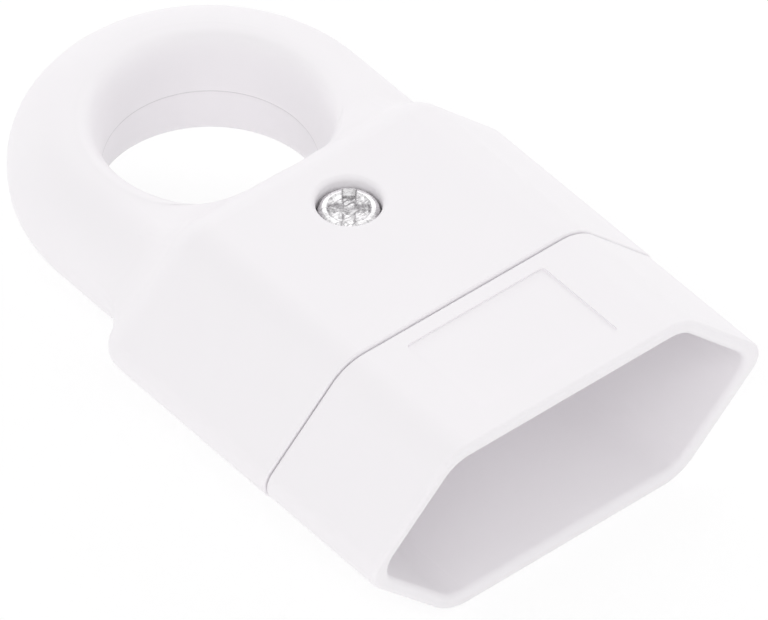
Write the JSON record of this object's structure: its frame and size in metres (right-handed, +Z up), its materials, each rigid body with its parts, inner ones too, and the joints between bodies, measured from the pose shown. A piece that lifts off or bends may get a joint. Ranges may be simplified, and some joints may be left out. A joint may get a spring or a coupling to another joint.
{
  "type": "portable power socket",
  "caption": "Portable power socket with a flattened hexagonal plug recess, a screwed-on rear housing and a finger ring moulded on its end.",
  "frame": {"origin": "under the middle of the whole, on the surface that the socket lies on", "axes": "+Y along the socket from the mouth to the finger ring, +X across the width, +Z up out of the face with the cover screw"},
  "size_m": [0.0448, 0.0678, 0.0196],
  "materials": {
    "white_plastic": "moulded, satin gloss",
    "plated_steel": "bright nickel plating",
    "brass": "turned and milled",
    "clamp_plastic": "moulded"
  },
  "bodies": {
    "root": {"front_body": "white_plastic", "rear_housing": "white_plastic", "cover_screw": "plated_steel", "contact_left": "brass", "contact_right": "brass", "terminal_screws": "plated_steel", "cord_clamp": "clamp_plastic", "cord_clamp_screws": "plated_steel"}
  },
  "joints": []
}
